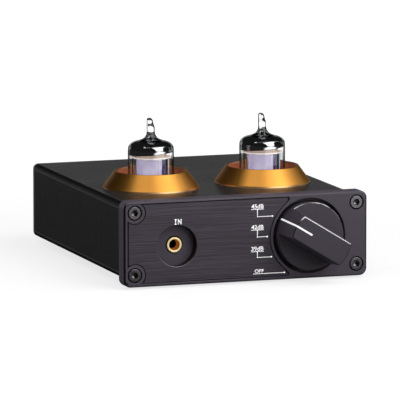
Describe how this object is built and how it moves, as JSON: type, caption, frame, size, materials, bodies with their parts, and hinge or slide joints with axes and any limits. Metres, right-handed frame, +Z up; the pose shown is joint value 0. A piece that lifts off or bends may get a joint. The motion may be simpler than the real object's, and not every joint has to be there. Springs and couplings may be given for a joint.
{
  "type": "valve phono preamplifier",
  "caption": "Compact phono preamplifier in an extruded case with a thick front panel, a stepped gain knob, a front input jack and miniature valves in flared gold rings.",
  "frame": {"origin": "on the table, under the middle of the overall width and length", "axes": "+X to the right across the front panel, +Y from the knob to the sockets at the back, +Z up"},
  "size_m": [0.1042, 0.1574, 0.0628],
  "materials": {
    "case_black": "satin black",
    "panel_black": "satin black",
    "inlay_brushed": "brushed, dark",
    "screw_steel": "satin",
    "screw_black": "black oxide",
    "foot_rubber": "matte",
    "ring_gold": "polished, gold plated",
    "nut_brass": "plain",
    "socket_ceramic": "off-white",
    "contact_metal": "tinned",
    "knob_black": "satin black",
    "print_white": "white",
    "switch_metal": "plain",
    "switch_plastic": "black",
    "wafer_brown": "laminate",
    "insulator_white": "white",
    "insulator_red": "red",
    "board_green": "board, solder resist",
    "capacitor_sleeve": "sleeve",
    "film_red": "dipped",
    "chip_black": "moulded",
    "sink_black": "black",
    "tube_glass": "clear",
    "pin_metal": "nickel",
    "mica": "mica",
    "anode_grey": "carbonised"
  },
  "bodies": {
    "chassis": {"case_sleeve": "case_black", "front_panel": "panel_black", "front_inlay": "inlay_brushed", "front_screws": "screw_steel", "rear_panel": "panel_black", "rear_screws": "screw_black", "rubber_feet": "foot_rubber", "tube_ring_left": "ring_gold", "tube_ring_right": "ring_gold", "ring_nuts": "nut_brass", "tube_sockets": "socket_ceramic", "socket_contacts": "contact_metal", "switch_bushing": "switch_metal", "switch_housing": "switch_plastic", "switch_wafer": "wafer_brown", "switch_contacts": "contact_metal", "switch_pins": "contact_metal", "switch_washer": "switch_metal", "switch_nut": "switch_metal", "jack_ring": "ring_gold", "jack_housing": "switch_plastic", "jack_contacts": "contact_metal", "phono_shells": "ring_gold", "phono_contacts": "ring_gold", "phono_insulators_white": "insulator_white", "phono_insulators_red": "insulator_red", "phono_blocks": "switch_plastic", "inlet_housing": "switch_plastic", "inlet_contacts": "contact_metal", "earth_stud": "ring_gold", "earth_nuts": "nut_brass", "earth_strap": "contact_metal", "main_board": "board_green", "electrolytic_capacitors": "capacitor_sleeve", "film_capacitors": "film_red", "amplifier_chips": "chip_black", "chip_resistors": "chip_black", "supply_choke": "chip_black", "voltage_regulator": "chip_black", "heat_sink": "sink_black"},
    "gain_knob": {"knob": "knob_black", "knob_pointer": "print_white", "knob_grub_screw": "screw_black", "switch_shaft": "switch_metal", "switch_rotor": "switch_plastic"},
    "valve_left": {"tube_glass_left": "tube_glass", "tube_pins_left": "pin_metal", "tube_micas_left": "mica", "tube_anode_left": "anode_grey", "tube_electrodes_left": "pin_metal", "tube_getter_left": "pin_metal"},
    "valve_right": {"tube_glass_right": "tube_glass", "tube_pins_right": "pin_metal", "tube_micas_right": "mica", "tube_anode_right": "anode_grey", "tube_electrodes_right": "pin_metal", "tube_getter_right": "pin_metal"},
    "earth_washer_body": {"earth_washer": "ring_gold"},
    "earth_nut_body": {"earth_thumb_nut": "ring_gold"}
  },
  "joints": [
    {"name": "knob_turn", "type": "hinge", "parent": "chassis", "child": "gain_knob", "pos_m": [0.02705, -0.06335, 0.0185], "axis": [0, -1, 0], "range_deg": [0, 83.1]},
    {"name": "valve_left_lift", "type": "slide", "parent": "chassis", "child": "valve_left", "axis": [0, 0, 1], "range_m": [0, 0.045]},
    {"name": "valve_right_lift", "type": "slide", "parent": "chassis", "child": "valve_right", "axis": [0, 0, 1], "range_m": [0, 0.045]},
    {"name": "earth_washer_travel", "type": "slide", "parent": "chassis", "child": "earth_washer_body", "axis": [0, 1, 0], "range_m": [0, 0.0021]},
    {"name": "earth_nut_turn", "type": "hinge", "parent": "earth_washer_body", "child": "earth_nut_body", "pos_m": [-0.0375, 0.07015, 0.0185], "axis": [0, 1, 0], "range_deg": [0, 1080]}
  ],
  "couplings": [
    {"joint": "earth_nut_turn", "follows": "earth_washer_travel", "rad_per_m": 8975.9}
  ]
}
